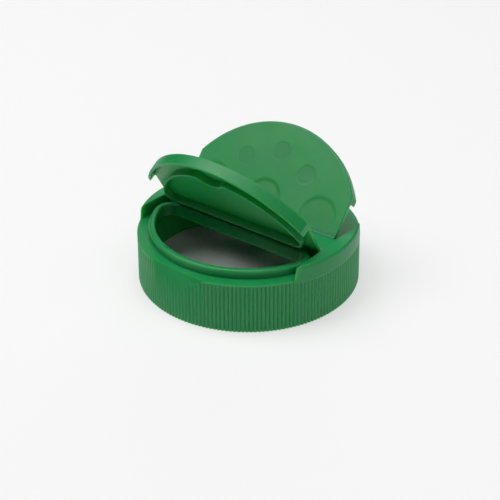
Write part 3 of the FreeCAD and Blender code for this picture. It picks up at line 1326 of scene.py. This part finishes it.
@dataclass
class ShakerFlap(Flap):
    """Lid of the shaker holes, with a tubular plug for each and round marks on its top."""

    pin_clearance: float = 0.28
    pin_wall: float = 0.8
    pin_reach: float = 0.7
    pin_round: float = 0.2
    mark_radius: float = 2.9
    mark_depth: float = 0.03
    mark_slope: float = 0.7
    scallop_radius: float = 6.0
    scallop_depth: float = 0.13
    scallop_slope: float = 1.6
    # Depth at which the painted shade in a recess is full
    shade_depth: float = 0.08
    scallop_hinge_gap: float = 4.1
    scallop_side_inset: float = 8.0

    def pin(self, centre: tuple[float, float]) -> bpy.types.Object:
        """Tubular plug of one shaker hole.

        Args:
            centre: Centre of the hole.

        Returns:
            The solid.
        """
        sizes = self.sizes
        radius = sizes.hole_radius - self.pin_clearance
        low = sizes.ledge_height - self.pin_reach
        edge = self.pin_round
        outline = arc((radius - edge, low + edge), edge, -90, 0, 3)
        outline.append((radius, sizes.panel_underside + sizes.panel_thickness / 2))
        pin = turned("shaker_pin", outline, 72, centre)
        inside = radius - self.pin_wall
        room = [(inside + edge, low - self.past), (inside + edge, low)]
        room += arc((inside + edge, low + edge), edge, 270, 180, 3)[1:]
        room.append((inside, sizes.panel_underside))
        return combine(pin, [turned("pin_room", room, 72, centre)], Join.CUT)

    def mark(self, centre: tuple[float, float]) -> bpy.types.Object:
        """Shallow round mark over one shaker hole, with a soft edge.

        Args:
            centre: Centre of the mark.

        Returns:
            The solid to cut away.
        """
        top = self.sizes.flap_top
        outline = soft_step(self.mark_radius - self.mark_slope / 2, self.mark_slope, top - self.mark_depth, top)
        outline.append((self.mark_radius + self.mark_slope, top + self.past))
        return turned("round_mark", outline, 96, centre)

    def scallop(self, centre: tuple[float, float]) -> bpy.types.Object:
        """Shallow round mark that is deepest at the far side and fades to the hinge.

        Args:
            centre: Centre of the mark.

        Returns:
            The solid to cut away.
        """
        tilt = math.asin(self.scallop_depth / (2 * self.scallop_radius))
        bottom = Vector((centre[0], centre[1], self.sizes.flap_top - self.scallop_depth / 2))
        slope = self.scallop_slope
        outline = soft_step(self.scallop_radius - slope / 2, slope, 0.0, self.scallop_depth)
        outline.append((self.scallop_radius + slope, self.past))
        tool = turned("scallop", outline, 144)
        tool.data.transform(Matrix.Translation(bottom * MM) @ Matrix.Rotation(-tilt, 4, ACROSS))
        return tool

    def build(self) -> bpy.types.Object:
        """Build the flap.

        Returns:
            The finished piece.
        """
        sizes = self.sizes
        body = self.shell("shaker_flap_moulding")
        combine(body, [self.pin(centre) for centre in sizes.hole_centres], Join.ADD)
        removed = [self.mark(centre) for centre in sizes.hole_centres]
        y = self.joint.y + self.scallop_hinge_gap
        x = sizes.panel_half_width - self.scallop_side_inset
        removed += [self.scallop(centre) for centre in ((-x, y), (0.0, y), (x, y))]
        combine(body, removed, Join.CUT)
        return self.open(self.paint_recess_shade(shaded(body)))

    def paint_recess_shade(self, piece: bpy.types.Object) -> bpy.types.Object:
        """Note how deep each corner of the flap lies in a recess, for the painted shade that the finish puts there.

        Args:
            piece: The closed flap.

        Returns:
            The same object, with the share of the full depth at each corner.
        """
        top, full = self.sizes.flap_top, self.shade_depth
        reach = self.sizes.end_radius - self.edge_radius - self.edge_round
        half = self.sizes.panel_half_width - 2 * self.edge_round
        start = abs(self.joint.y) + self.slope_length + 2 * self.slope_round
        note = piece.data.attributes.new(RECESS_SHADE, "FLOAT", "POINT")
        for corner in piece.data.vertices:
            x, y, z = corner.co / MM
            inside = math.hypot(x, y) < reach and abs(x) < half and abs(y) > start
            # Painted shade: the deeper a corner lies in a mark or scallop, the darker the finish makes it
            if inside and z > top - 1.5 * self.scallop_depth:
                note.data[corner.index].value = min(1.0, max(0.0, (top - z) / full))
        return piece


@dataclass(frozen=True)
class SoftBox:
    """Square soft box on the studio's dome, its place in degrees and its power in watts."""

    name: str
    azimuth: float
    elevation: float
    power: float


@dataclass
class Studio:
    """Paper sweep, soft light and the camera."""

    azimuth: float = 38.06
    elevation: float = 30.67
    roll: float = -0.22
    distance_mm: float = 264.34
    aside_mm: float = 0.37
    above_mm: float = 5.51
    lens: float = 62.61
    sensor: float = 36.0
    floor_mm: float = 1200.0
    room_light: float = 0.85
    box_distance: float = 1.5
    box_size: float = 1.0
    boxes: tuple[SoftBox, ...] = (
        SoftBox("overhead_box", 0.0, 90.0, 8.9),
        SoftBox("front_left_box", 300.0, 58.0, 11.6),
        SoftBox("back_right_box", 120.0, 58.0, 3.2),
        SoftBox("back_wall_box", 210.0, 25.0, 3.1),
        SoftBox("front_fill_box", 60.0, 32.0, 2.0),
    )

    def camera(self) -> None:
        """Place the camera at the photograph's viewing angle."""
        turn, lift, roll = (math.radians(value) for value in (self.azimuth, self.elevation, self.roll))
        back = Vector((math.sin(turn) * math.cos(lift), -math.cos(turn) * math.cos(lift), math.sin(lift)))
        right = Vector((math.cos(turn), math.sin(turn), 0.0))
        up = back.cross(right)
        level_right = math.cos(roll) * right + math.sin(roll) * up
        level_up = -math.sin(roll) * right + math.cos(roll) * up
        place = (back * self.distance_mm + level_right * self.aside_mm + level_up * self.above_mm) * MM
        data = bpy.data.cameras.new("studio_camera")
        data.lens = self.lens
        data.sensor_width = self.sensor
        data.clip_start = 0.01
        camera = bpy.data.objects.new("studio_camera", data)
        pose = Matrix((level_right, level_up, back)).transposed().to_4x4()
        pose.translation = place
        camera.matrix_world = pose
        bpy.context.scene.collection.objects.link(camera)
        bpy.context.scene.camera = camera

    def lamp(self, box: SoftBox) -> None:
        """Hang a soft box that points at the cap.

        Args:
            box: The soft box.
        """
        turn, lift = math.radians(box.azimuth), math.radians(box.elevation)
        away = Vector((math.sin(turn) * math.cos(lift), -math.cos(turn) * math.cos(lift), math.sin(lift)))
        data = bpy.data.lights.new(box.name, "AREA")
        data.size = self.box_size
        data.energy = box.power
        light = bpy.data.objects.new(box.name, data)
        light.location = away * self.box_distance
        light.rotation_euler = away.to_track_quat("Z", "Y").to_euler()
        bpy.context.scene.collection.objects.link(light)

    def build(self) -> None:
        """Set up the floor, the lights and the camera."""
        half = self.floor_mm / 2
        corners = [Vector((x, y, 0.0)) for x, y in ((-half, -half), (half, -half), (half, half), (-half, half))]
        floor = make_object("studio_floor", corners, [[0, 1, 2, 3]])
        floor.data.materials.append(StudioFloor().material())
        world = bpy.data.worlds.new("studio_world")
        bpy.context.scene.world = world
        world.use_nodes = True
        sky = world.node_tree.nodes["Background"]
        sky.inputs["Color"].default_value = (1.0, 1.0, 1.0, 1.0)
        sky.inputs["Strength"].default_value = self.room_light
        reach = getattr(world, "cycles_visibility", None)
        if reach is not None:
            reach.diffuse = False
            reach.glossy = False
        for box in self.boxes:
            self.lamp(box)
        bpy.context.scene.view_settings.view_transform = "Standard"
        self.camera()


def main() -> None:
    """Build the cap and its studio, and report each piece."""
    logging.basicConfig(level=logging.INFO, format="%(name)s: %(message)s")
    finish = MouldedPolypropylene().material()
    sizes = Envelope()
    pour, shaker = Joint.of("pour_lid"), Joint.of("shaker_lid")
    moon = HalfMoon(sizes, pour.y - sizes.collar_setback)
    base = CapBase(sizes, pour, shaker, moon, finish)
    piece = base.build()
    base.dress(piece)
    LOG.info("%s: %d faces", piece.name, len(piece.data.polygons))
    thread = JarThread(base.bore_radius, finish)
    piece = thread.build()
    thread.dress(piece)
    LOG.info("%s: %d faces", piece.name, len(piece.data.polygons))
    pour_flap = PourFlap(sizes, pour, Side.POUR, 60.0, finish, moon=moon)
    piece = pour_flap.build()
    pour_flap.dress(piece, "pour_flap")
    LOG.info("%s: %d faces", piece.name, len(piece.data.polygons))
    shaker_flap = ShakerFlap(sizes, shaker, Side.SHAKER, 50.0, finish)
    piece = shaker_flap.build()
    shaker_flap.dress(piece, "shaker_flap")
    LOG.info("%s: %d faces", piece.name, len(piece.data.polygons))
    for flap, name in ((pour_flap, "pour_hinge_web"), (shaker_flap, "shaker_hinge_web")):
        web = HingeWeb(sizes, flap.joint, flap.side, flap.open_angle, finish, base.bridge_edge(),
                       (flap.slope_length, sizes.flap_top - flap.joint.z))
        piece = web.build(name)
        web.dress(piece)
        LOG.info("%s: %d faces", piece.name, len(piece.data.polygons))
    Studio().build()


if __name__ == "__main__":
    main()
